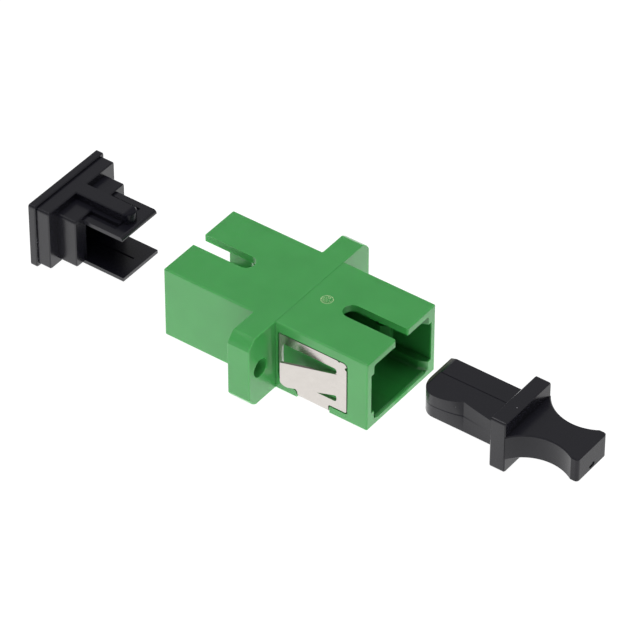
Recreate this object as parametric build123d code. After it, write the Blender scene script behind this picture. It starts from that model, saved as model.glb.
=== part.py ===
"""Simplex fibre optic adapter with its two dust caps taken off. Millimetres, +Z up.

The origin is on the fibre axis, in the middle plane of the flange. The fibre axis is X: the
front socket opens towards +X and the rear socket towards -X. The keyways are on top.
"""
import os

from build123d import *

# Outside of the housing
BODY_LENGTH = 27.3
BODY_WIDTH = 12.6
BODY_HEIGHT = 9.3
BODY_EDGE = 0.2
SEAM_EDGE = 0.03
FLANGE_WIDTH = 22.0
FLANGE_THICKNESS = 2.9
FLANGE_CORNER = 2.5
FLANGE_CORNER_OVER = 0.235
FLANGE_EDGE = 0.12
SCREW_INSET = 2.0
SCREW_HOLE = 2.3

# Sockets for the connectors
SOCKET_WIDTH = 9.1
SOCKET_HEIGHT = 7.5
SOCKET_CORNER = 0.3
LEAD_IN_LENGTH = 1.0
LEAD_IN_SIDE = 0.5
FLOOR_BEVEL_LENGTH = 0.35
FLOOR_BEVEL_DROP = 0.2
KEYWAY_WIDTH = 2.16
KEYWAY_LENGTH = 7.6
KEYWAY_CORNER = 0.2
LATCH_GROOVE_WIDTH = 11.1
LATCH_GROOVE_HEIGHT = 5.3
LATCH_GROOVE_START = 2.6
MARK_DIAMETER = 1.0
MARK_HEIGHT = 0.06
MARK_PLACE = 3.75

# Latch inserts, clamped back to back between the two halves
FIT = 0.05
PLATE_THICKNESS = 1.0
PLATE_WIDTH = 10.2
PLATE_HEIGHT = 8.1
PLATE_CORNER = 0.6
HOLDER_DIAMETER = 4.2
HOLDER_LIP = 0.3
HOLDER_MOUTH = 2.7
HOLDER_FLARE = 0.25
HOLDER_FILLET = 0.35
HOOK_REACH = 9.4
HOOK_HEIGHT = 1.9
HOOK_THICKNESS = 0.7
HOOK_SIDE_GAP = 0.1
BARB_LENGTH = 1.5
BARB_FLAT = 0.5
BARB_DEPTH = 0.35
BARB_LEAD = 0.55

# Alignment sleeve
FERRULE_BORE = 2.49
SLEEVE_DIAMETER = 3.2
SLEEVE_LENGTH = 11.4
SLEEVE_SLIT = 0.4
SLEEVE_PLAY = 0.1

# Panel clip
SHEET = 0.3
CLIP_GAP = 0.04
CLIP_BACK = 1.95
CLIP_LENGTH = 8.95
CLIP_TOP = 3.3
CLIP_BOTTOM = -3.5
CLIP_CORNER_BACK_TOP = 0.15
CLIP_CORNER_FRONT_TOP = 0.45
CLIP_CORNER_FRONT_BOTTOM = 0.2
CLIP_CORNER_BACK_BOTTOM = 0.95
CLIP_RECESS_MARGIN = 0.17
STRAP_START = 4.4
STRAP_WIDTH = 4.1
STRAP_BEND = 0.55
WINDOW_BACK_RIM = 0.4
WINDOW_FRONT_RIM = 1.3
WINDOW_TOP = 2.06
WINDOW_BOTTOM = -2.55
WINDOW_CORNER = 0.25
TONGUE_TOP = 1.3
TONGUE_BOTTOM = -1.65
TONGUE_LENGTH = 6.45
TONGUE_ANGLE = 18.0
TONGUE_CORNER_TOP = 0.15
TONGUE_CORNER_BOTTOM = 1.0
TONGUE_SPREAD = 0.45
TONGUE_BEND = 0.9
CLIP_NICK = 0.22
NICK_HEIGHT = 2.62
TOP_NICK = 0.14
TOP_NICK_PLACE = 1.0
STRAP_ROOT_BACK = 0.5
STRAP_ROOT_FRONT = 0.25
SLIT_END = 0.35

# Rear dust cap: a fork under a key bar
CAP_EDGE = 0.12
REAR_CAP_PLACE = -30.0
REAR_CAP_OFFSET = 0.2
OUTER_PLATE_WIDTH = 12.4
OUTER_PLATE_HEIGHT = 8.6
OUTER_PLATE_THICKNESS = 1.0
INNER_PLATE_WIDTH = 11.8
INNER_PLATE_HEIGHT = 7.9
INNER_PLATE_THICKNESS = 1.7
CAP_PLATE_CORNER = 0.35
CAP_KEY_GAP = 0.1
KEY_BAR_LENGTH = 7.5
BLOCK_SIDE_GAP = 0.12
BLOCK_HEIGHT = 6.4
BLOCK_LENGTH = 2.56
FORK_WIDTH = 6.2
FORK_LENGTH = 8.1
FORK_GAP_ABOVE = 0.2
UPPER_PRONG = 0.5
LOWER_PRONG = 0.45
LOWER_PRONG_TOP = -2.9
PRONG_TIP_RADIUS = 0.4
FORK_GROOVE_PLACE = 1.9
FORK_GROOVE_WIDTH = 0.7
FORK_GROOVE_DEPTH = 0.22
FORK_GROOVE_LENGTH = 6.5
SHOULDER_RISE = 0.25
LOWER_GROOVE_WIDTH = 0.9
LOWER_GROOVE_DEPTH = 0.12
LOWER_GROOVE_END = 1.2
CAP_POCKET_DEPTH = 3.4
CAP_POCKET_WALL = 0.55

# Front dust cap: a tongue, a flange and a waisted grip
FRONT_CAP_PLACE = 28.1
PLUG_LENGTH = 10.2
PLUG_WIDTH = 6.4
PLUG_THICKNESS = 3.1
PLUG_NOSE_LENGTH = 2.1
PLUG_NOSE_WIDTH = 2.8
NOSE_RAMP_LENGTH = 0.7
NOSE_RAMP_DROP = 0.25
PLUG_STEP = 0.05
PLUG_STEP_PLACE = 0.5
NOTCH_PLACE = 4.9
NOTCH_DEPTH = 1.15
NOTCH_HOOK = 3.1
NOTCH_END_DEPTH = 0.22
NOTCH_END_SLOPE = 0.14
NOTCH_LEAN = 0.8
CAP_FLANGE_WIDTH = 8.6
CAP_FLANGE_HEIGHT = 6.8
CAP_FLANGE_THICKNESS = 1.95
CAP_FLANGE_CORNER = 0.3
GRIP_LENGTH = 8.2
GRIP_THICKNESS = 3.15
GRIP_WAIST = 3.76
GRIP_WAIST_PLACE = 4.35
GRIP_END_WIDTH = 5.5
GRIP_END_STRAIGHT = 0.9
GRIP_CORNER = 0.4
DIMPLE_LENGTH = 1.0
DIMPLE_WIDTH = 0.55
DIMPLE_DEPTH = 0.12
DIMPLE_DROP = 0.95

# Worked out from the sizes above
MOUTH = BODY_LENGTH / 2
SEAM = FLANGE_THICKNESS / 2
SCREW_PITCH = FLANGE_WIDTH - 2 * SCREW_INSET
ROOF = BODY_HEIGHT / 2
KEYWAY_END = MOUTH - KEYWAY_LENGTH
POCKET_WIDTH = PLATE_WIDTH + 2 * FIT
POCKET_HEIGHT = PLATE_HEIGHT + 2 * FIT
HOLDER_END = SLEEVE_LENGTH / 2 + SLEEVE_PLAY + HOLDER_LIP
HOLDER_BORE = SLEEVE_DIAMETER + SLEEVE_PLAY
HOOK_OUTER = SOCKET_WIDTH / 2 - HOOK_SIDE_GAP
HOOK_INNER = HOOK_OUTER - HOOK_THICKNESS
BARB_INNER = HOOK_INNER - BARB_DEPTH
CLIP_FRONT = CLIP_BACK + CLIP_LENGTH
RECESS_DEPTH = SHEET + CLIP_GAP


def bar(x_from, x_to, width, z_from, z_to, corner=0.0):
    """A block along X, centred on Y, with its four long edges rounded."""
    height = z_to - z_from
    section = RectangleRounded(width, height, corner) if corner else Rectangle(width, height)
    face = Plane.YZ.offset(x_from) * Pos(0, (z_from + z_to) / 2) * section
    return extrude(face, x_to - x_from)


def upright(face, z_from, z_to):
    """A plan outline extruded up from one height to another."""
    return extrude(Pos(0, 0, z_from) * face, z_to - z_from)


def eased(solid, *ends):
    """A block along X with the edges round its first (0) or last (-1) end face broken."""
    for end in ends:
        solid = chamfer(solid.faces().sort_by(Axis.X)[end].edges(), CAP_EDGE)
    return solid


def round_bar(x_from, x_to, diameter):
    """A round bar on the fibre axis."""
    return extrude(Plane.YZ.offset(x_from) * Circle(diameter / 2), x_to - x_from)


def both_sides(solid):
    """The solid and its mirror image on the other side of the fibre axis."""
    return solid + mirror(solid, Plane.XZ)


def socket(back):
    """The room inside the front end, from its back wall to the mouth, as a solid to cut away.

    The straight socket opens into a tapered lead-in between the side walls, and its floor ends in
    a short bevel. A shallow groove in each side wall gives the latch hook room to spring outwards.
    """
    straight = bar(back, MOUTH, SOCKET_WIDTH, -SOCKET_HEIGHT / 2, SOCKET_HEIGHT / 2, SOCKET_CORNER)
    groove = bar(LATCH_GROOVE_START, MOUTH, LATCH_GROOVE_WIDTH,
                 -LATCH_GROOVE_HEIGHT / 2, LATCH_GROOVE_HEIGHT / 2)
    inner = RectangleRounded(SOCKET_WIDTH, SOCKET_HEIGHT, SOCKET_CORNER)
    outer = RectangleRounded(SOCKET_WIDTH + 2 * LEAD_IN_SIDE, SOCKET_HEIGHT, SOCKET_CORNER)
    lead_in = loft([
        Plane.YZ.offset(MOUTH - LEAD_IN_LENGTH) * inner,
        Plane.YZ.offset(MOUTH) * outer,
    ])
    floor = -SOCKET_HEIGHT / 2
    bevel = make_face(Polyline(
        (MOUTH - FLOOR_BEVEL_LENGTH, floor),
        (MOUTH, floor - FLOOR_BEVEL_DROP),
        (MOUTH, floor + SOCKET_CORNER),
        (MOUTH - FLOOR_BEVEL_LENGTH, floor + SOCKET_CORNER),
        close=True,
    ))
    return straight + groove + lead_in + extrude(Plane.XZ * bevel, SOCKET_WIDTH / 2, both=True)


def keyway():
    """The slot in the roof for a connector's key, round at its inner end and eased at the mouth."""
    half = KEYWAY_WIDTH / 2
    straight = MOUTH - KEYWAY_END - half
    plan = Pos(MOUTH - straight / 2, 0) * Rectangle(straight, KEYWAY_WIDTH)
    plan += Pos(KEYWAY_END + half, 0) * Circle(half)
    for side in (-1, 1):
        corner = Pos(MOUTH - KEYWAY_CORNER / 2, side * (half + KEYWAY_CORNER / 2))
        plan += corner * Rectangle(KEYWAY_CORNER, KEYWAY_CORNER)
        plan -= Pos(MOUTH - KEYWAY_CORNER, side * (half + KEYWAY_CORNER)) * Circle(KEYWAY_CORNER)
    return upright(plan, 0, BODY_HEIGHT)


def housing_end(back):
    """One end of the housing, facing +X, from its back plane to the mouth, still without its socket."""
    block = bar(back, MOUTH, BODY_WIDTH, -ROOF, ROOF)
    long_edges = block.edges().filter_by(Axis.X)
    mouth_edges = block.faces().sort_by(Axis.X)[-1].edges()
    return fillet(long_edges + mouth_edges, BODY_EDGE)


def rear_housing():
    """The rear half: its socket, the flange with two screw holes, and the pocket for the inserts.

    The flange's corners are cut off in a shallow curve that meets its ends and its top at an edge.
    """
    end = mirror(housing_end(0) - socket(0) - keyway(), Plane.YZ)
    over = 2 * FLANGE_CORNER_OVER
    flange_section = RectangleRounded(FLANGE_WIDTH + over, BODY_HEIGHT + over, FLANGE_CORNER)
    flange_section &= Rectangle(FLANGE_WIDTH, BODY_HEIGHT)
    flange = extrude(Plane.YZ.offset(-SEAM) * flange_section, FLANGE_THICKNESS)
    flange = fillet(flange.faces().filter_by(Axis.X).edges(), FLANGE_EDGE)
    half = end + flange + bar(-SEAM, SEAM, BODY_WIDTH, -ROOF, ROOF)
    half -= bar(-PLATE_THICKNESS, SEAM, POCKET_WIDTH, -POCKET_HEIGHT / 2, POCKET_HEIGHT / 2, PLATE_CORNER)
    half -= mirror(socket(0), Plane.YZ)
    for side in (-1, 1):
        half -= Pos(0, side * SCREW_PITCH / 2, 0) * round_bar(-SEAM, SEAM, SCREW_HOLE)
    return half


def cornered(outline, corners):
    """A flat outline with the corner nearest each place rounded to its own radius."""
    for x, z, radius in corners:
        outline = fillet(outline.vertices().sort_by_distance((x, z, 0))[0], radius)
    return outline


def clip_outline(margin):
    """The clip's side view in X and Z, grown by a margin: the side plate over the narrower strap.

    Each corner of the plate has its own radius, and the strap leaves the plate's lower edge in two
    round roots.
    """
    middle = (CLIP_BACK + CLIP_FRONT) / 2
    low = CLIP_BOTTOM - margin
    plate = Rectangle(CLIP_LENGTH + 2 * margin, CLIP_TOP - CLIP_BOTTOM + 2 * margin)
    outline = cornered(Pos(middle, (CLIP_TOP + CLIP_BOTTOM) / 2) * plate, (
        (CLIP_BACK - margin, CLIP_TOP + margin, CLIP_CORNER_BACK_TOP + margin),
        (CLIP_FRONT + margin, CLIP_TOP + margin, CLIP_CORNER_FRONT_TOP + margin),
        (CLIP_FRONT + margin, low, CLIP_CORNER_FRONT_BOTTOM + margin),
        (CLIP_BACK - margin, low, CLIP_CORNER_BACK_BOTTOM + margin),
    ))
    strap_height = CLIP_BOTTOM + 2 * ROOF
    strap = Rectangle(STRAP_WIDTH + 2 * margin, strap_height)
    outline += Pos(STRAP_START + STRAP_WIDTH / 2, strap_height / 2 - 2 * ROOF) * strap
    return cornered(outline, (
        (STRAP_START - margin, low, STRAP_ROOT_BACK - margin),
        (STRAP_START + STRAP_WIDTH + margin, low, STRAP_ROOT_FRONT - margin),
    ))


def folded_section(inset, bend):
    """The housing's section shrunk by an inset, open above, with its lower corners bent round."""
    width = BODY_WIDTH - 2 * inset
    top = 2 * ROOF
    bottom = -ROOF + inset
    face = Pos(0, (top + bottom) / 2) * Rectangle(width, top - bottom)
    return Plane.YZ * fillet(face.vertices().group_by(Axis.Y)[0], bend)


def clip_band(inset, bend):
    """Everything inside the folded section, along the length that the clip covers."""
    start = CLIP_BACK - CLIP_LENGTH / 2
    return Pos(start, 0, 0) * extrude(folded_section(inset, bend), 2 * CLIP_LENGTH)


def front_housing():
    """The front half: its socket, a spigot that clamps the inserts, and the recess for the clip."""
    half = housing_end(SEAM)
    half = chamfer(half.faces().sort_by(Axis.X)[0].edges(), SEAM_EDGE)
    half += bar(PLATE_THICKNESS, SEAM, PLATE_WIDTH, -PLATE_HEIGHT / 2, PLATE_HEIGHT / 2, PLATE_CORNER)
    half -= socket(PLATE_THICKNESS)
    half -= keyway()
    recess = extrude(Plane.XZ * clip_outline(CLIP_RECESS_MARGIN), BODY_WIDTH, both=True)
    half -= recess - clip_band(RECESS_DEPTH, STRAP_BEND - SHEET)
    mark = Plane.XY.offset(ROOF) * Pos(MARK_PLACE, 0) * Circle(MARK_DIAMETER / 2)
    return half + extrude(mark, MARK_HEIGHT)


def latch_insert():
    """The front insert: a plate, half of the sleeve's holder and two hooks that latch a connector."""
    insert = bar(0, PLATE_THICKNESS, PLATE_WIDTH, -PLATE_HEIGHT / 2, PLATE_HEIGHT / 2, PLATE_CORNER)
    root = Plane.YZ.offset(PLATE_THICKNESS) * Circle(HOLDER_DIAMETER / 2 + HOLDER_FILLET)
    neck = Plane.YZ.offset(PLATE_THICKNESS + HOLDER_FILLET) * Circle(HOLDER_DIAMETER / 2)
    insert += round_bar(0, HOLDER_END, HOLDER_DIAMETER) + loft([root, neck])
    tip = HOOK_REACH - BARB_LENGTH
    hook_profile = Polyline(
        (0, HOOK_INNER),
        (tip, HOOK_INNER),
        (tip, BARB_INNER),
        (tip + BARB_FLAT, BARB_INNER),
        (HOOK_REACH, BARB_INNER + BARB_LEAD),
        (HOOK_REACH, HOOK_OUTER),
        (0, HOOK_OUTER),
        close=True,
    )
    insert += both_sides(upright(make_face(hook_profile), -HOOK_HEIGHT / 2, HOOK_HEIGHT / 2))
    lip = HOLDER_END - HOLDER_LIP
    mouth = loft([
        Plane.YZ.offset(lip) * Circle(HOLDER_MOUTH / 2),
        Plane.YZ.offset(HOLDER_END) * Circle(HOLDER_MOUTH / 2 + HOLDER_FLARE),
    ])
    return insert - round_bar(0, lip, HOLDER_BORE) - mouth


def alignment_sleeve():
    """The ceramic sleeve, split along its underside so that it grips the two ferrules."""
    tube = round_bar(-SLEEVE_LENGTH / 2, SLEEVE_LENGTH / 2, SLEEVE_DIAMETER)
    tube -= round_bar(-SLEEVE_LENGTH / 2, SLEEVE_LENGTH / 2, FERRULE_BORE)
    return tube - bar(-SLEEVE_LENGTH / 2, SLEEVE_LENGTH / 2, SLEEVE_SLIT, -SLEEVE_DIAMETER, 0)


def spring_tongue(root, sheet_middle):
    """One sprung tongue of the clip, on the -Y side, bent out of the side plate at its front end."""
    length = Vector(TONGUE_LENGTH, 0).rotate(Axis.Z, TONGUE_ANGLE)
    path = FilletPolyline(
        (root + SHEET, -sheet_middle),
        (root, -sheet_middle),
        (root - length.X, -sheet_middle - length.Y),
        radius=TONGUE_BEND,
    )
    strip = upright(trace(path, SHEET), CLIP_BOTTOM, CLIP_TOP)
    tip = root - length.X
    tip_bottom = TONGUE_BOTTOM - TONGUE_SPREAD
    outline = make_face(Polyline(
        (root + SHEET, TONGUE_TOP),
        (tip, TONGUE_TOP),
        (tip, tip_bottom),
        (root, TONGUE_BOTTOM),
        (root + SHEET, TONGUE_BOTTOM),
        close=True,
    ))
    outline = cornered(outline, (
        (tip, TONGUE_TOP, TONGUE_CORNER_TOP),
        (tip, tip_bottom, TONGUE_CORNER_BOTTOM),
    ))
    return strip & extrude(Plane.XZ * outline, BODY_WIDTH, both=True)


def clip_window(start, end):
    """The window in the clip's side, with a round slit's end above and below the tongue's root."""
    window = Rectangle(end - start, WINDOW_TOP - WINDOW_BOTTOM)
    window = Pos((start + end) / 2, (WINDOW_TOP + WINDOW_BOTTOM) / 2) * window
    root = Rectangle(2 * SLIT_END, TONGUE_TOP - TONGUE_BOTTOM)
    window -= Pos(end, (TONGUE_TOP + TONGUE_BOTTOM) / 2) * root
    return cornered(window, (
        (start, WINDOW_TOP, WINDOW_CORNER),
        (start, WINDOW_BOTTOM, WINDOW_CORNER),
        (end, WINDOW_TOP, SLIT_END),
        (end, TONGUE_TOP, SLIT_END),
        (end, TONGUE_BOTTOM, SLIT_END),
        (end, WINDOW_BOTTOM, SLIT_END),
    ))


def panel_clip():
    """The stainless clip, folded from one sheet: a strap under the body and a window on each side."""
    inset = CLIP_GAP / 2
    window_end = CLIP_FRONT - WINDOW_FRONT_RIM
    outline = clip_outline(0) - clip_window(CLIP_BACK + WINDOW_BACK_RIM, window_end)
    outline -= Pos(CLIP_FRONT, NICK_HEIGHT) * Circle(CLIP_NICK)
    outline -= Pos(CLIP_FRONT - TOP_NICK_PLACE, CLIP_TOP) * Circle(TOP_NICK)
    shape = extrude(Plane.XZ * outline, BODY_WIDTH, both=True)
    sheet = clip_band(inset, STRAP_BEND) - clip_band(inset + SHEET, STRAP_BEND - SHEET)
    sheet_middle = BODY_WIDTH / 2 - inset - SHEET / 2
    return (sheet & shape) + both_sides(spring_tongue(window_end, sheet_middle))


def rear_dust_cap():
    """The fork-shaped cap, seen with its seating face at X = 0 and the fork towards +X."""
    middle = REAR_CAP_OFFSET
    key_top = middle + INNER_PLATE_HEIGHT / 2
    holder = HOLDER_DIAMETER / 2
    prong_low = holder + FORK_GAP_ABOVE
    prong_high = prong_low + UPPER_PRONG
    back = -INNER_PLATE_THICKNESS

    outer_plate = bar(back - OUTER_PLATE_THICKNESS, back, OUTER_PLATE_WIDTH,
                      middle - OUTER_PLATE_HEIGHT / 2, middle + OUTER_PLATE_HEIGHT / 2, CAP_PLATE_CORNER)
    inner_plate = bar(back, 0, INNER_PLATE_WIDTH,
                      middle - INNER_PLATE_HEIGHT / 2, key_top, CAP_PLATE_CORNER)
    block = bar(0, BLOCK_LENGTH, SOCKET_WIDTH - 2 * BLOCK_SIDE_GAP,
                -BLOCK_HEIGHT / 2, BLOCK_HEIGHT / 2, CAP_PLATE_CORNER)
    cap = eased(outer_plate, 0, -1) + eased(inner_plate, -1) + eased(block, -1)

    upper = bar(0, FORK_LENGTH, FORK_WIDTH, prong_low, prong_high)
    tip_edges = upper.faces().sort_by(Axis.X)[-1].edges().sort_by(Axis.Z)
    upper = fillet(tip_edges[-1], PRONG_TIP_RADIUS)
    lower = bar(0, FORK_LENGTH, FORK_WIDTH, LOWER_PRONG_TOP - LOWER_PRONG, LOWER_PRONG_TOP)
    cap += upper + lower

    key_width = KEYWAY_WIDTH - 2 * CAP_KEY_GAP
    straight = KEY_BAR_LENGTH - key_width / 2
    key_plan = Pos((straight + back) / 2, 0) * Rectangle(straight - back, key_width)
    key_plan += Pos(straight, 0) * Circle(key_width / 2)
    key_bar = upright(key_plan, prong_low, key_top)
    key_bar = chamfer(key_bar.faces().sort_by(Axis.Z)[-1].edges(), CAP_EDGE)
    shoulder = FORK_GROOVE_PLACE - FORK_GROOVE_WIDTH / 2
    cap += bar(0, FORK_GROOVE_LENGTH, 2 * shoulder, prong_low, prong_high + SHOULDER_RISE)
    cap += key_bar

    groove_floor = prong_high - FORK_GROOVE_DEPTH
    groove = bar(BLOCK_LENGTH, FORK_GROOVE_LENGTH, FORK_GROOVE_WIDTH, groove_floor, key_top)
    for side in (-1, 1):
        cap -= Pos(0, side * FORK_GROOVE_PLACE, 0) * groove
    lower_floor = LOWER_PRONG_TOP - LOWER_GROOVE_DEPTH
    cap -= bar(0, FORK_LENGTH - LOWER_GROOVE_END, LOWER_GROOVE_WIDTH, lower_floor, 0)
    pocket_width = FORK_WIDTH - 2 * CAP_POCKET_WALL
    return cap - bar(BLOCK_LENGTH - CAP_POCKET_DEPTH, FORK_LENGTH, pocket_width, LOWER_PRONG_TOP, prong_low)


def plug_plan(notch):
    """The front cap's tongue from above, with the flange at X = 0 and the nose towards -X.

    Its far side is straight. Its near side has a rounded nose, and with the notch it curves in to
    a sharp corner and flares back out to the flange. Both forms have the same number of edges.
    """
    half = PLUG_WIDTH / 2
    nose_start = -PLUG_LENGTH + PLUG_NOSE_LENGTH
    nose_centre = (nose_start, PLUG_NOSE_WIDTH - half)
    hook_start = (-NOTCH_PLACE - NOTCH_HOOK, -half)
    if notch:
        corner = (-NOTCH_PLACE, NOTCH_DEPTH - half)
        root = (0, NOTCH_END_DEPTH - half)
        near_side = [
            TangentArc(hook_start, corner, tangent=(1, 0)),
            TangentArc(root, corner, tangent=(-1, NOTCH_END_SLOPE)),
        ]
    else:
        corner = (NOTCH_LEAN - NOTCH_PLACE, -half)
        root = (0, -half)
        near_side = [Line(hook_start, corner), Line(corner, root)]
    edges = [
        Line((0, half), (-PLUG_LENGTH, half)),
        Line((-PLUG_LENGTH, half), (-PLUG_LENGTH, PLUG_NOSE_WIDTH - half)),
        EllipticalCenterArc(nose_centre, PLUG_NOSE_LENGTH, PLUG_NOSE_WIDTH, start_angle=180, arc_size=90),
        Line((nose_start, -half), hook_start),
        *near_side,
        Line(root, (0, half)),
    ]
    return make_face(edges)


def grip_plan():
    """The grip from above: two hollow curves to a waist, then a short straight end."""
    start = CAP_FLANGE_THICKNESS
    end = start + GRIP_LENGTH
    far = end - GRIP_END_STRAIGHT
    wide = CAP_FLANGE_WIDTH / 2
    half = GRIP_END_WIDTH / 2
    hollow = ThreePointArc((start, wide), (start + GRIP_WAIST_PLACE, GRIP_WAIST / 2), (far, half))
    side = [hollow, Line((far, half), (end, half))]
    other_side = [mirror(edge, Plane.XZ) for edge in side]
    ends = [Line((start, -wide), (start, wide)), Line((end, -half), (end, half))]
    face = make_face([*side, *other_side, *ends])
    return fillet(face.vertices().group_by(Axis.X)[-1], GRIP_CORNER)


def front_dust_cap():
    """The cap with the grip, seen with the back of its flange at X = 0 and its tongue towards -X."""
    half = PLUG_THICKNESS / 2
    tongue = loft([Pos(0, 0, -half) * plug_plan(False), Pos(0, 0, half) * plug_plan(True)], ruled=True)
    lowered = Rectangle(2 * PLUG_LENGTH, PLUG_WIDTH)
    for floor, ceiling in ((half - PLUG_STEP, half), (-half, PLUG_STEP - half)):
        tongue -= upright(Pos(0, PLUG_STEP_PLACE - PLUG_WIDTH / 2) * lowered, floor, ceiling)
    ramp_profile = make_face(Polyline(
        (-PLUG_LENGTH, half),
        (-PLUG_LENGTH, half - NOSE_RAMP_DROP),
        (NOSE_RAMP_LENGTH - PLUG_LENGTH, half),
        close=True,
    ))
    ramp = extrude(Plane.XZ * ramp_profile, PLUG_WIDTH, both=True)
    tongue -= ramp + mirror(ramp, Plane.XY)
    flange = bar(0, CAP_FLANGE_THICKNESS, CAP_FLANGE_WIDTH,
                 -CAP_FLANGE_HEIGHT / 2, CAP_FLANGE_HEIGHT / 2, CAP_FLANGE_CORNER)
    cap = tongue + eased(flange, 0, -1)
    grip = upright(grip_plan(), -GRIP_THICKNESS / 2, GRIP_THICKNESS / 2)
    outline_edges = grip.faces().filter_by(Axis.Z).edges().group_by(Axis.X)[1:]
    cap += chamfer([edge for group in outline_edges for edge in group], CAP_EDGE)
    end = CAP_FLANGE_THICKNESS + GRIP_LENGTH
    dimple = Pos(0, -DIMPLE_DROP) * SlotOverall(DIMPLE_LENGTH, DIMPLE_WIDTH)
    return cap - extrude(Plane.YZ.offset(end - DIMPLE_DEPTH) * dimple, DIMPLE_DEPTH)


pieces = {
    "rear_housing": rear_housing(),
    "front_housing": front_housing(),
    "front_latch_insert": latch_insert(),
    "rear_latch_insert": mirror(latch_insert(), Plane.YZ),
    "alignment_sleeve": alignment_sleeve(),
    "panel_clip": panel_clip(),
    "rear_dust_cap": Pos(REAR_CAP_PLACE, 0, 0) * rear_dust_cap(),
    "front_dust_cap": Pos(FRONT_CAP_PLACE, 0, 0) * front_dust_cap(),
}

os.makedirs("parts", exist_ok=True)
for name, piece in pieces.items():
    export_step(piece, f"parts/{name}.step")
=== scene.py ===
import math

import bmesh
import bpy
from mathutils import Matrix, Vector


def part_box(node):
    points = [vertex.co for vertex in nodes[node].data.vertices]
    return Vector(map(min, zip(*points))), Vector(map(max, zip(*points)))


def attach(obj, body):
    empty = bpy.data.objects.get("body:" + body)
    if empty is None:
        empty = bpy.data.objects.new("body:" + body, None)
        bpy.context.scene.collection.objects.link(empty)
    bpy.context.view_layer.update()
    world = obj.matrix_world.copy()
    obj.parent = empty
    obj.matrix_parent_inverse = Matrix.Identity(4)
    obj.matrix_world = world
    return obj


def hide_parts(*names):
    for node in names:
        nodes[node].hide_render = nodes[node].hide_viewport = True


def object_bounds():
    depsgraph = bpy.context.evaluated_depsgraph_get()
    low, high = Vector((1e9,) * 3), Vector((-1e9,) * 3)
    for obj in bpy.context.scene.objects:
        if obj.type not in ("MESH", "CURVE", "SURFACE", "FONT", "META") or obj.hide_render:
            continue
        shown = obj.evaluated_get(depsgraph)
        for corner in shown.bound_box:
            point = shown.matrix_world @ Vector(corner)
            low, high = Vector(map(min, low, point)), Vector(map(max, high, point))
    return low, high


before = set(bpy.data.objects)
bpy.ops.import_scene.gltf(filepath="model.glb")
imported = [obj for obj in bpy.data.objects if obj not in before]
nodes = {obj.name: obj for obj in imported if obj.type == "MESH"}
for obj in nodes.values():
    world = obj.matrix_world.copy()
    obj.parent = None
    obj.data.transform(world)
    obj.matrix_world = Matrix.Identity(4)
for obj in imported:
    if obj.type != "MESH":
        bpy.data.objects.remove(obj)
cad_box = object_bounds()


# The rear half of the housing is the end with the flange. It is one green moulding in a
# glass-filled polyester, with a fine satin skin from the mould. The front half is welded to it.

DARK_GREEN = (0.042, 0.265, 0.060)
LIGHT_GREEN = (0.048, 0.289, 0.067)
FLOW_CONTRAST = (0.3, 0.7)
SATIN_ROUGHNESS = (0.245, 0.268)

# Where the walls with painted light or shade, or a duller shine, lie, in millimetres along the fibre
# axis from its middle, across it and up. Over each pair of numbers the plain skin changes to the
# painted or duller one.
SOCKET_ACROSS = (4.6, 5.2)
SOCKET_UP = (3.76, 3.92)
LATCH_GROOVE_ALONG = (13.4, 13.6)
LATCH_GROOVE_ACROSS = (5.6, 5.7)
LATCH_GROOVE_UP = (2.66, 2.7)
KEYWAY_ACROSS = (1.1, 1.3)
KEYWAY_UP = (4.5, 4.64)
FRONT_HALF = (0.0, 1.0)
REAR_HALF = (-1.0, 0.0)

# The white table lights the front socket's walls too much and the rear one's upper walls too
# little, so their colours are multiplied: painted shade in the front socket, and painted light on
# the rear socket's walls and keyway, more of it higher up. The rear one's walls and the keyways' are
# duller too.
UNTONED = (1.0, 1.0, 1.0)
FRONT_SOCKET_PAINTED_SHADE = (0.30, 0.47, 0.36)
REAR_SOCKET_PAINTED_LIGHT = (1.5, 1.5, 1.5)
REAR_PAINTED_LIGHT_LOW_DOWN = 0.5
REAR_PAINTED_LIGHT_RISE = (-0.5, 1.5)
MOULDED_SHINE = 0.5
DULL_SHINE = 0.12


def new_material(name):
    """An empty material, its node tree and the shader that every finish here starts from."""
    material = bpy.data.materials.new(name)
    material.use_nodes = True
    tree = material.node_tree
    shader = tree.nodes["Principled BSDF"]
    return material, tree, shader


def link(tree, source, target):
    """Joins an output socket to an input socket."""
    tree.links.new(source, target)


def place_in_millimetres(tree):
    """The point on the piece in its own coordinates, in millimetres."""
    coordinates = tree.nodes.new("ShaderNodeTexCoord")
    millimetres = tree.nodes.new("ShaderNodeVectorMath")
    millimetres.operation = "SCALE"
    millimetres.inputs["Scale"].default_value = 1000.0
    link(tree, coordinates.outputs["Object"], millimetres.inputs[0])
    return millimetres.outputs["Vector"]


def axes_of(tree, place):
    """How far a point lies along the fibre axis (X), across it (Y) and up (Z)."""
    axes = tree.nodes.new("ShaderNodeSeparateXYZ")
    link(tree, place, axes.inputs["Vector"])
    return axes.outputs


def noise(tree, place, per_millimetre, detail=2.0, roughness=0.5):
    """Smooth random values between 0 and 1, with about that many spots to the millimetre."""
    texture = tree.nodes.new("ShaderNodeTexNoise")
    texture.inputs["Scale"].default_value = per_millimetre
    texture.inputs["Detail"].default_value = detail
    texture.inputs["Roughness"].default_value = roughness
    link(tree, place, texture.inputs["Vector"])
    return texture.outputs["Fac"]


def spread(tree, value, to=(0.0, 1.0), over=(0.0, 1.0)):
    """A value stretched from the range it runs over to another one, and held at its ends."""
    stretch = tree.nodes.new("ShaderNodeMapRange")
    for name, limit in zip(("From Min", "From Max", "To Min", "To Max"), (*over, *to)):
        stretch.inputs[name].default_value = limit
    link(tree, value, stretch.inputs["Value"])
    return stretch.outputs["Result"]


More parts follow.
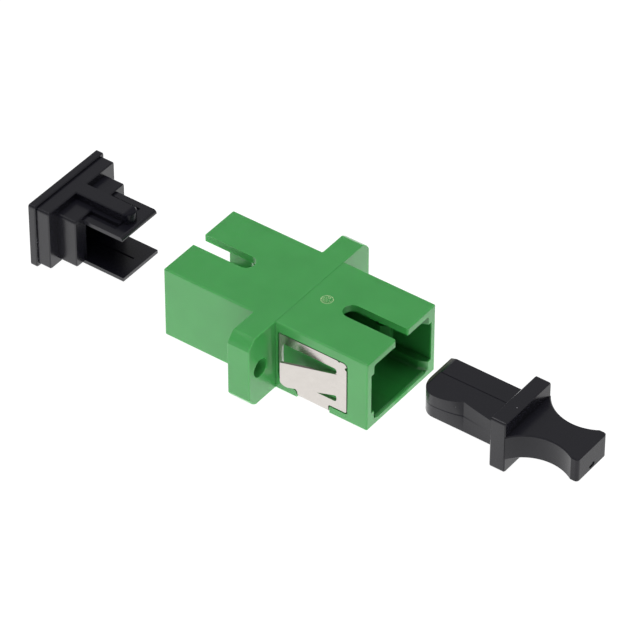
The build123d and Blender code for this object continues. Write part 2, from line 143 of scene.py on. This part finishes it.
def worked_out(tree, operation, *values):
    """The result of a Math node on other nodes' outputs and plain numbers."""
    node = tree.nodes.new("ShaderNodeMath")
    node.operation = operation
    for value, socket in zip(values, node.inputs):
        if isinstance(value, bpy.types.NodeSocket):
            link(tree, value, socket)
        else:
            socket.default_value = value
    return node.outputs["Value"]


def blend_colours(tree, factor, colour_low, colour_high):
    """The first colour where the factor is 0 and the second where it is 1."""
    mix = tree.nodes.new("ShaderNodeMix")
    mix.data_type = "RGBA"
    link(tree, factor, mix.inputs["Factor"])
    for colour, key in ((colour_low, "A"), (colour_high, "B")):
        socket = next(s for s in mix.inputs if s.name == key and s.type == "RGBA")
        if isinstance(colour, tuple):
            socket.default_value = (*colour, 1.0)
        else:
            link(tree, colour, socket)
    return next(s for s in mix.outputs if s.type == "RGBA")


def both(tree, first, second):
    """1 where two places meet and 0 outside either of them."""
    return worked_out(tree, "MULTIPLY", first, second)


def either(tree, first, second):
    """1 in each of two places and 0 outside them."""
    return worked_out(tree, "MAXIMUM", first, second)


def near_middle(tree, value, limits):
    """1 where a coordinate lies within the first limit of the middle, 0 beyond the second."""
    distance = worked_out(tree, "ABSOLUTE", value)
    return spread(tree, distance, to=(1.0, 0.0), over=limits)


def round_the_axis(tree, axes, across, up):
    """1 close round the fibre axis and 0 outside the limits across it and up."""
    return both(tree, near_middle(tree, axes["Y"], across), near_middle(tree, axes["Z"], up))


def green_plastic(name, tint=1.0):
    """Green polyester: a satin skin with faint cloudy flow, with painted shade in the front socket
    and painted light in the rear one.
    """
    material, tree, shader = new_material(name)
    place = place_in_millimetres(tree)
    axes = axes_of(tree, place)
    flow = spread(tree, noise(tree, place, per_millimetre=0.22, detail=3.0), over=FLOW_CONTRAST)
    dark, light = [tuple(tint * part for part in green) for green in (DARK_GREEN, LIGHT_GREEN)]
    skin = blend_colours(tree, flow, dark, light)
    grooves = round_the_axis(tree, axes, LATCH_GROOVE_ACROSS, LATCH_GROOVE_UP)
    grooves = both(tree, grooves, near_middle(tree, axes["X"], LATCH_GROOVE_ALONG))
    sockets = either(tree, round_the_axis(tree, axes, SOCKET_ACROSS, SOCKET_UP), grooves)
    keyways = round_the_axis(tree, axes, KEYWAY_ACROSS, KEYWAY_UP)
    front_painted_shade = both(tree, sockets, spread(tree, axes["X"], over=FRONT_HALF))
    rear_half = spread(tree, axes["X"], to=(1.0, 0.0), over=REAR_HALF)
    high_up = spread(tree, axes["Z"], to=(REAR_PAINTED_LIGHT_LOW_DOWN, 1.0), over=REAR_PAINTED_LIGHT_RISE)
    rear_painted_light_walls = both(tree, both(tree, either(tree, sockets, keyways), rear_half), high_up)
    # Painted shade in the front socket and painted light in the rear one, multiplied into the skin's
    # colour
    painted_light_and_shade = blend_colours(tree, front_painted_shade, UNTONED, FRONT_SOCKET_PAINTED_SHADE)
    painted_light_and_shade = blend_colours(tree, rear_painted_light_walls, painted_light_and_shade, REAR_SOCKET_PAINTED_LIGHT)
    skin_with_painted_light = tree.nodes.new("ShaderNodeVectorMath")
    skin_with_painted_light.operation = "MULTIPLY"
    link(tree, skin, skin_with_painted_light.inputs[0])
    link(tree, painted_light_and_shade, skin_with_painted_light.inputs[1])
    link(tree, skin_with_painted_light.outputs["Vector"], shader.inputs["Base Color"])
    satin = spread(tree, noise(tree, place, per_millimetre=0.8, detail=3.0), to=SATIN_ROUGHNESS)
    link(tree, satin, shader.inputs["Roughness"])
    dull = either(tree, keyways, rear_painted_light_walls)
    shine = spread(tree, dull, to=(MOULDED_SHINE, DULL_SHINE))
    link(tree, shine, shader.inputs["Specular IOR Level"])
    shader.inputs["IOR"].default_value = 1.58
    shader.inputs["Subsurface Weight"].default_value = 0.45
    shader.inputs["Subsurface Radius"].default_value = (0.3, 1.0, 0.35)
    shader.inputs["Subsurface Scale"].default_value = 0.0006
    return material


def finish_node(name, material):
    """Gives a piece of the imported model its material."""
    nodes[name].data.materials.clear()
    nodes[name].data.materials.append(material)


housing_green = green_plastic("green_polyester")
finish_node("rear_housing", housing_green)


# The front half is the same green moulding with the clip's recess and the front socket.
# Its spigot clamps the latch inserts inside, and the seam shows as a thin line on top.

finish_node("front_housing", housing_green)


# The mark on the front half's roof is a plain stippled roundel, stamped in pale ink on a low
# round boss. Its dots are uneven, as ink is on a moulded skin.

ROUNDEL_ALONG = 0.00375
ROUNDEL_SEED = 7
OUTLINE_SIDES = 32
RIM_DOTS = 30
DOTS_TO_THE_SQUARE_METRE = 2.0e8
DOTS_KEPT = 0.75
SMALLEST_DOT = (0.35, 0.35, 0.12)
LARGEST_DOT = (1.35, 1.35, 0.20)
WORN_INK = (0.30, 0.47, 0.20)
THICK_INK = (0.62, 0.70, 0.42)
INK_ROUGHNESS = (0.35, 0.6)


def tree_input(tree, name, kind, value=None):
    """Adds a named input to a geometry tree and gives it its usual value."""
    socket = tree.interface.new_socket(name, in_out="INPUT", socket_type=kind)
    if value is not None:
        socket.default_value = value


def node_with(tree, kind, **inputs):
    """A node of a geometry tree with inputs set or linked, each named without its spaces."""
    node = tree.nodes.new(kind)
    for name, value in inputs.items():
        socket = next(s for s in node.inputs if s.name.replace(" ", "_") == name and s.enabled)
        if isinstance(value, bpy.types.NodeSocket):
            link(tree, value, socket)
        else:
            socket.default_value = value
    return node


def stippled_roundel():
    """A tree that scatters flat dots over a disc and along its rim, each of its own size."""
    tree = bpy.data.node_groups.new("stippled_roundel", "GeometryNodeTree")
    tree_input(tree, "Radius", "NodeSocketFloat", 0.00068)
    tree_input(tree, "Boss Radius", "NodeSocketFloat", 0.0005)
    tree_input(tree, "Boss Height", "NodeSocketFloat", 0.00006)
    tree_input(tree, "Dot", "NodeSocketFloat", 0.00006)
    tree_input(tree, "Spacing", "NodeSocketFloat", 0.00013)
    tree_input(tree, "Seed", "NodeSocketInt", ROUNDEL_SEED)
    tree_input(tree, "Ink", "NodeSocketMaterial")
    tree.interface.new_socket("Geometry", in_out="OUTPUT", socket_type="NodeSocketGeometry")
    given = tree.nodes.new("NodeGroupInput").outputs

    # The dots' places: random ones on the disc and even ones round its rim
    disc = node_with(tree, "GeometryNodeMeshCircle", Radius=given["Radius"], Vertices=OUTLINE_SIDES)
    disc.fill_type = "NGON"
    dots = tree.nodes.new("GeometryNodeDistributePointsOnFaces")
    dots.distribute_method = "POISSON"
    link(tree, disc.outputs["Mesh"], dots.inputs["Mesh"])
    link(tree, given["Spacing"], dots.inputs["Distance Min"])
    dots.inputs["Density Max"].default_value = DOTS_TO_THE_SQUARE_METRE
    dots.inputs["Density Factor"].default_value = DOTS_KEPT
    link(tree, given["Seed"], dots.inputs["Seed"])
    rim = node_with(tree, "GeometryNodeCurvePrimitiveCircle", Radius=given["Radius"])
    rim_curve = rim.outputs["Curve"]
    rim_points = node_with(tree, "GeometryNodeCurveToPoints", Curve=rim_curve, Count=RIM_DOTS)
    places = tree.nodes.new("GeometryNodeJoinGeometry")
    link(tree, dots.outputs["Points"], places.inputs["Geometry"])
    link(tree, rim_points.outputs["Points"], places.inputs["Geometry"])

    # Dots beyond the boss lie lower, on the roof
    from_middle = tree.nodes.new("ShaderNodeVectorMath")
    from_middle.operation = "LENGTH"
    position = tree.nodes.new("GeometryNodeInputPosition").outputs["Position"]
    link(tree, position, from_middle.inputs[0])
    off_middle = from_middle.outputs["Value"]
    off_boss = worked_out(tree, "GREATER_THAN", off_middle, given["Boss Radius"])
    fall = worked_out(tree, "MULTIPLY", off_boss, given["Boss Height"])
    down = tree.nodes.new("ShaderNodeCombineXYZ")
    link(tree, worked_out(tree, "MULTIPLY", fall, -1.0), down.inputs["Z"])
    laid = tree.nodes.new("GeometryNodeSetPosition")
    link(tree, places.outputs["Geometry"], laid.inputs["Geometry"])
    link(tree, down.outputs["Vector"], laid.inputs["Offset"])

    # A flat drop of ink on each place
    drop = node_with(tree, "GeometryNodeMeshIcoSphere", Radius=given["Dot"], Subdivisions=1)
    sizes = tree.nodes.new("FunctionNodeRandomValue")
    sizes.data_type = "FLOAT_VECTOR"
    sizes.inputs[0].default_value = SMALLEST_DOT
    sizes.inputs[1].default_value = LARGEST_DOT
    link(tree, given["Seed"], next(s for s in sizes.inputs if s.name == "Seed"))
    dotted = tree.nodes.new("GeometryNodeInstanceOnPoints")
    link(tree, laid.outputs["Geometry"], dotted.inputs["Points"])
    link(tree, drop.outputs["Mesh"], dotted.inputs["Instance"])
    link(tree, next(s for s in sizes.outputs if s.type == "VECTOR"), dotted.inputs["Scale"])
    real = tree.nodes.new("GeometryNodeRealizeInstances")
    link(tree, dotted.outputs["Instances"], real.inputs["Geometry"])
    inked = tree.nodes.new("GeometryNodeSetMaterial")
    link(tree, real.outputs["Geometry"], inked.inputs["Geometry"])
    link(tree, given["Ink"], inked.inputs["Material"])
    result = tree.nodes.new("NodeGroupOutput")
    link(tree, inked.outputs["Geometry"], result.inputs["Geometry"])
    return tree


def finished_mesh(piece):
    """A plain mesh of a piece as its modifiers leave it."""
    evaluated = piece.evaluated_get(bpy.context.evaluated_depsgraph_get())
    return bpy.data.meshes.new_from_object(evaluated)


def grown(name, tree, **values):
    """A plain mesh object grown from a geometry tree with its named inputs set."""
    seed_mesh = bpy.data.meshes.new(name + "_seed")
    piece = bpy.data.objects.new(name, seed_mesh)
    bpy.context.scene.collection.objects.link(piece)
    modifier = piece.modifiers.new("grow", "NODES")
    modifier.node_group = tree
    for item in tree.interface.items_tree:
        if item.in_out == "INPUT" and item.name in values:
            modifier[item.identifier] = values[item.name]
    mesh = finished_mesh(piece)
    piece.modifiers.remove(modifier)
    piece.data = mesh
    bpy.data.meshes.remove(seed_mesh)
    return piece


ink, tree, shader = new_material("pale_ink")
place = place_in_millimetres(tree)
wear = noise(tree, place, per_millimetre=6.0, detail=3.0, roughness=0.6)
link(tree, blend_colours(tree, wear, WORN_INK, THICK_INK), shader.inputs["Base Color"])
link(tree, spread(tree, wear, to=INK_ROUGHNESS), shader.inputs["Roughness"])
roundel = grown("stamped_roundel", stippled_roundel(), Ink=ink)
housing_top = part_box("front_housing")[1][2]
roundel.data.transform(Matrix.Translation((ROUNDEL_ALONG, 0.0, housing_top)))
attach(roundel, "adapter")


# The latch inserts are two green mouldings, clamped back to back in the middle. Each holds
# half of the ceramic sleeve and has two hooks that a connector snaps behind.

INSERT_TINT = 0.92
insert_green = green_plastic("green_insert_polyester", INSERT_TINT)
finish_node("rear_latch_insert", insert_green)
finish_node("front_latch_insert", insert_green)


# The alignment sleeve is ground zirconia, split along its length so that it grips both
# ferrules. It lies loose in its holder and shows only down the sockets.

CREAM = (0.80, 0.79, 0.73)
IVORY = (0.88, 0.87, 0.82)
GROUND_ROUGHNESS = (0.16, 0.26)
zirconia, tree, shader = new_material("ground_zirconia")
place = place_in_millimetres(tree)
cloud = noise(tree, place, per_millimetre=1.5, detail=3.0)
link(tree, blend_colours(tree, cloud, CREAM, IVORY), shader.inputs["Base Color"])
ground = spread(tree, noise(tree, place, per_millimetre=14.0), to=GROUND_ROUGHNESS)
link(tree, ground, shader.inputs["Roughness"])
finish_node("alignment_sleeve", zirconia)


# The panel clip is folded from one sheet of stainless spring steel, tumbled bright, so that its
# skin is a fine satin with short rolling marks, and its edges are slightly rolled. A painted
# highlight, a pale band that is not metallic, lies along the rear cut edge of the window in each
# side, for the light that edge catches.

STEEL_SHADE = (0.53, 0.50, 0.47)
STEEL_BRIGHT = (0.59, 0.56, 0.53)
ROLLING_STRETCH = (0.35, 1.0, 1.6)
ROLLING_DEPTH = 0.0000025
ROLLED_ROUGHNESS = (0.14, 0.30)
PAINTED_HIGHLIGHT_PALE = (0.97, 0.96, 0.94)
HIGHLIGHT_ALONG = 2.39
HIGHLIGHT_ALONG_REACH = 0.08
HIGHLIGHT_UP = -0.3
HIGHLIGHT_UP_REACH = 2.3
HIGHLIGHT_FADE = (0.02, 0.1)
MERGE_DISTANCE = 1.0e-7
FLAT_ANGLE = math.radians(0.5)
EDGE_ROLL = 0.00006
EDGE_ROLL_STEPS = 2
EDGE_ANGLE = math.radians(40)


def near_value(tree, value, middle, reach):
    """1 where a value equals the middle, falling to 0 at the reach on either side."""
    return near_middle(tree, worked_out(tree, "SUBTRACT", value, middle), (0.0, reach))


def raised(tree, height, depth):
    """The surface normal tilted by a height pattern whose full rise is the depth in metres."""
    bump = tree.nodes.new("ShaderNodeBump")
    bump.inputs["Strength"].default_value = 1.0
    bump.inputs["Distance"].default_value = depth
    link(tree, height, bump.inputs["Height"])
    return bump.outputs["Normal"]


steel, tree, shader = new_material("tumbled_spring_steel")
place = place_in_millimetres(tree)
stretched = tree.nodes.new("ShaderNodeMapping")
stretched.inputs["Scale"].default_value = ROLLING_STRETCH
link(tree, place, stretched.inputs["Vector"])
rolling = noise(tree, stretched.outputs["Vector"], per_millimetre=12.0, detail=4.0, roughness=0.65)
link(tree, spread(tree, rolling, to=ROLLED_ROUGHNESS), shader.inputs["Roughness"])
link(tree, raised(tree, rolling, ROLLING_DEPTH), shader.inputs["Normal"])
clouds = noise(tree, place, per_millimetre=1.1, detail=3.0)
bright = blend_colours(tree, clouds, STEEL_SHADE, STEEL_BRIGHT)
axes = axes_of(tree, place)
# A painted highlight: a pale, unmetallic band along the window's rear cut edge, for the light it
# catches
painted_highlight = both(
    tree,
    near_value(tree, axes["Z"], HIGHLIGHT_UP, HIGHLIGHT_UP_REACH),
    near_value(tree, axes["X"], HIGHLIGHT_ALONG, HIGHLIGHT_ALONG_REACH),
)
painted_highlight = spread(tree, painted_highlight, over=HIGHLIGHT_FADE)
link(tree, blend_colours(tree, painted_highlight, bright, PAINTED_HIGHLIGHT_PALE), shader.inputs["Base Color"])
link(tree, spread(tree, painted_highlight, to=(1.0, 0.0)), shader.inputs["Metallic"])

clip_mesh = nodes["panel_clip"].data.copy()
sheet = bmesh.new()
sheet.from_mesh(clip_mesh)
bmesh.ops.remove_doubles(sheet, verts=sheet.verts, dist=MERGE_DISTANCE)
bmesh.ops.dissolve_limit(sheet, angle_limit=FLAT_ANGLE, verts=sheet.verts, edges=sheet.edges)
sheet.to_mesh(clip_mesh)
sheet.free()
rolled_clip = bpy.data.objects.new("rolled_edge_clip", clip_mesh)
bpy.context.scene.collection.objects.link(rolled_clip)
rolled_edges = rolled_clip.modifiers.new("rolled_edges", "BEVEL")
rolled_edges.width = EDGE_ROLL
rolled_edges.segments = EDGE_ROLL_STEPS
rolled_edges.limit_method = "ANGLE"
rolled_edges.angle_limit = EDGE_ANGLE
rolled_edges.harden_normals = True
rolled_mesh = finished_mesh(rolled_clip)
rolled_clip.modifiers.remove(rolled_edges)
rolled_clip.data = rolled_mesh
rolled_mesh.materials.clear()
rolled_mesh.materials.append(steel)
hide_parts("panel_clip")
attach(rolled_clip, "adapter")
finish_node("panel_clip", steel)


# The rear dust cap is one moulding in soft black polyethylene, with a faintly grained skin. It
# is shown pulled off, in line with its socket. Pale flecks of dust sit in the joint between its
# two plates, and the end of its key bar is dull.

BLACK = (0.0046, 0.0044, 0.0076)
BLACK_CLOUD = (0.0058, 0.0056, 0.0092)
GRAIN_DEPTH = 0.0000018
GRAINED_ROUGHNESS = (0.18, 0.30)
BLACK_SHINE = 0.5
FLECK_GREY = (0.10, 0.10, 0.11)
FLECK_SHARE = (0.56, 0.62)
PLATE_JOINT_ALONG = -31.68
PLATE_JOINT_REACH = 0.08
FLECKS_TOP = (-1.0, 0.5)
KEY_END_ALONG = -22.4
KEY_END_REACH = 1.2
KEY_END_FADE = (0.02, 0.3)
KEY_END_ACROSS = (1.0, 1.1)
KEY_END_UP = (3.0, 3.1)
KEY_END_SHINE = 0.15


def black_plastic(name):
    """Black polyethylene: a fine grained skin with a soft shine, its plain colour still unlinked."""
    material, tree, shader = new_material(name)
    place = place_in_millimetres(tree)
    flow = noise(tree, place, per_millimetre=0.5, detail=3.0)
    plain = blend_colours(tree, flow, BLACK, BLACK_CLOUD)
    grain = noise(tree, place, per_millimetre=7.0, detail=4.0, roughness=0.65)
    link(tree, spread(tree, grain, to=GRAINED_ROUGHNESS), shader.inputs["Roughness"])
    link(tree, raised(tree, grain, GRAIN_DEPTH), shader.inputs["Normal"])
    shader.inputs["IOR"].default_value = 1.5
    return material, tree, shader, place, plain


rear_black, tree, shader, place, plain = black_plastic("black_polyethylene")
axes = axes_of(tree, place)
ragged = noise(tree, place, per_millimetre=5.0, detail=3.0, roughness=0.7)
flecks = both(
    tree,
    near_value(tree, axes["X"], PLATE_JOINT_ALONG, PLATE_JOINT_REACH),
    spread(tree, ragged, over=FLECK_SHARE),
)
flecks = both(tree, flecks, spread(tree, axes["Z"], to=(1.0, 0.0), over=FLECKS_TOP))
link(tree, blend_colours(tree, flecks, plain, FLECK_GREY), shader.inputs["Base Color"])
key_end = both(
    tree,
    near_value(tree, axes["X"], KEY_END_ALONG, KEY_END_REACH),
    near_middle(tree, axes["Y"], KEY_END_ACROSS),
)
key_end = spread(tree, key_end, over=KEY_END_FADE)
key_end = both(tree, key_end, spread(tree, axes["Z"], over=KEY_END_UP))
key_end_shine = spread(tree, key_end, to=(BLACK_SHINE, KEY_END_SHINE))
link(tree, key_end_shine, shader.inputs["Specular IOR Level"])
finish_node("rear_dust_cap", rear_black)


# The front dust cap is one moulding in the same black polyethylene, also shown pulled off. The
# mould's parting line runs round its tongue, the tongue's tip is worn grey, and a few grains of
# dust lie on it.

PLUG_TIP = min(corner[0] for corner in nodes["front_dust_cap"].bound_box) * 1000
WORN_REACH = (0.35, 0.5)
WORN_GREY = (0.045, 0.042, 0.036)
PARTING_UP = 0.05
PARTING_REACH = 0.11
PARTING_END = (23.0, 27.0)
PARTING_SHINE = 0.08
DUST_GREY = (0.16, 0.16, 0.17)
DUST_PER_MILLIMETRE = 0.42
DUST_SIZE = (0.02, 0.035)

plug_black, tree, shader, place, plain = black_plastic("black_polyethylene_plug")
axes = axes_of(tree, place)
on_tongue = spread(tree, axes["X"], to=(1.0, 0.0), over=PARTING_END)
parting = both(tree, near_value(tree, axes["Z"], PARTING_UP, PARTING_REACH), on_tongue)
parting_shine = spread(tree, parting, to=(BLACK_SHINE, PARTING_SHINE))
link(tree, parting_shine, shader.inputs["Specular IOR Level"])
worn_ends = [PLUG_TIP + reach for reach in WORN_REACH]
tip = spread(tree, axes["X"], to=(1.0, 0.0), over=worn_ends)
worn = blend_colours(tree, tip, plain, WORN_GREY)
grains = tree.nodes.new("ShaderNodeTexVoronoi")
grains.inputs["Scale"].default_value = DUST_PER_MILLIMETRE
link(tree, place, grains.inputs["Vector"])
dust = spread(tree, grains.outputs["Distance"], to=(1.0, 0.0), over=DUST_SIZE)
link(tree, blend_colours(tree, dust, worn, DUST_GREY), shader.inputs["Base Color"])
finish_node("front_dust_cap", plug_black)


# The floor is a plain white table that the adapter stands on, lit so hard that it glows on the
# sides and undersides of the pieces. To the camera it is plain white with a faint shadow.

FLOOR_HALF = 1.5
FLOOR_CORNERS = ((-1, -1), (1, -1), (1, 1), (-1, 1))
FLOOR_DROP = 0.00002
FLOOR_WHITE = 0.9
FLOOR_ROUGHNESS = 0.9
FLOOR_GLOW = 2.2
FLOOR_SHINE = 1.3
FLOOR_SHINE_RIGHT = 0.8
FLOOR_SHINE_CHANGE = (0.024, 0.036)
FLOOR_SEEN = 1.1
FLOOR_SHADOW = 0.1
floor_z = cad_box[0][2] - FLOOR_DROP
floor_mesh = bpy.data.meshes.new("floor")
corners = [(FLOOR_HALF * x, FLOOR_HALF * y, floor_z) for x, y in FLOOR_CORNERS]
floor_mesh.from_pydata(corners, [], [(0, 1, 2, 3)])
floor = bpy.data.objects.new("floor", floor_mesh)
bpy.context.scene.collection.objects.link(floor)

table_white, tree, shader = new_material("table_white")
shader.inputs["Base Color"].default_value = (FLOOR_WHITE, FLOOR_WHITE, FLOOR_WHITE, 1.0)
shader.inputs["Roughness"].default_value = FLOOR_ROUGHNESS
table_white.cycles.emission_sampling = "NONE"
rays = tree.nodes.new("ShaderNodeLightPath")
camera_ray = rays.outputs["Is Camera Ray"]
axes = axes_of(tree, tree.nodes.new("ShaderNodeTexCoord").outputs["Object"])
shine = spread(tree, axes["X"], to=(FLOOR_SHINE, FLOOR_SHINE_RIGHT), over=FLOOR_SHINE_CHANGE)
strength = tree.nodes.new("ShaderNodeMix")
link(tree, rays.outputs["Is Glossy Ray"], strength.inputs["Factor"])
link(tree, spread(tree, camera_ray, to=(FLOOR_GLOW, FLOOR_SEEN)), strength.inputs["A"])
link(tree, shine, strength.inputs["B"])
glow = tree.nodes.new("ShaderNodeEmission")
link(tree, strength.outputs["Result"], glow.inputs["Strength"])
mix = tree.nodes.new("ShaderNodeMixShader")
link(tree, spread(tree, camera_ray, to=(1.0, 1.0 - FLOOR_SHADOW)), mix.inputs["Fac"])
link(tree, shader.outputs["BSDF"], mix.inputs[1])
link(tree, glow.outputs["Emission"], mix.inputs[2])
link(tree, mix.outputs["Shader"], tree.nodes["Material Output"].inputs["Surface"])
floor_mesh.materials.append(table_white)


# The light is a plain white studio tent with one broad soft panel straight overhead. The tent
# is dim half way up, so that the tops stay free of glare, and a little brighter low down.

TENT_DIM = 0.33
TENT_LOW = 0.35
TENT_LOW_EDGE = (0.15, 0.45)
PANEL_GLOW = 4.6
PANEL_EDGE = (0.88, 0.94)
PLAIN_WHITE = (1.0, 1.0, 1.0, 1.0)
world = bpy.data.worlds.new("studio_tent")
world.use_nodes = True
tree = world.node_tree
bpy.context.scene.world = world
up = axes_of(tree, tree.nodes.new("ShaderNodeTexCoord").outputs["Generated"])["Z"]
low_band = spread(tree, up, to=(TENT_DIM + TENT_LOW, TENT_DIM), over=TENT_LOW_EDGE)
panel = spread(tree, up, to=(0.0, PANEL_GLOW), over=PANEL_EDGE)
tent = tree.nodes["Background"]
tent.inputs["Color"].default_value = PLAIN_WHITE
link(tree, worked_out(tree, "ADD", low_band, panel), tent.inputs["Strength"])
backdrop = tree.nodes.new("ShaderNodeBackground")
backdrop.inputs["Color"].default_value = PLAIN_WHITE
backdrop.inputs["Strength"].default_value = 1.0
mix = tree.nodes.new("ShaderNodeMixShader")
link(tree, tree.nodes.new("ShaderNodeLightPath").outputs["Is Camera Ray"], mix.inputs["Fac"])
link(tree, tent.outputs["Background"], mix.inputs[1])
link(tree, backdrop.outputs["Background"], mix.inputs[2])
link(tree, mix.outputs["Shader"], tree.nodes["World Output"].inputs["Surface"])


# The camera stands at the photograph's angle, in front of the part to its right and above
# it, with a long lens. Its aim is a little to the right of the fibre axis's middle.

CAMERA_AZIMUTH = math.radians(36.157)
CAMERA_ELEVATION = math.radians(40.062)
CAMERA_ROLL = math.radians(0.092)
CAMERA_DISTANCE = 0.51537
CAMERA_SHIFT_RIGHT = 0.002267
CAMERA_SHIFT_UP = -0.000076
SENSOR_WIDTH = 36.0
FOCAL_LENGTH = 266.74
NEAREST_SEEN = 0.01
FURTHEST_SEEN = 20.0
camera_data = bpy.data.cameras.new("camera")
camera_data.sensor_width = SENSOR_WIDTH
camera_data.lens = FOCAL_LENGTH
camera_data.clip_start = NEAREST_SEEN
camera_data.clip_end = FURTHEST_SEEN
camera = bpy.data.objects.new("camera", camera_data)
turn = (
    Matrix.Rotation(CAMERA_AZIMUTH, 4, "Z")
    @ Matrix.Rotation(math.pi / 2 - CAMERA_ELEVATION, 4, "X")
    @ Matrix.Rotation(CAMERA_ROLL, 4, "Z")
)
stand = Matrix.Translation((CAMERA_SHIFT_RIGHT, CAMERA_SHIFT_UP, CAMERA_DISTANCE))
camera.matrix_world = turn @ stand
bpy.context.scene.collection.objects.link(camera)
bpy.context.scene.camera = camera
bpy.context.scene.view_settings.view_transform = "Standard"
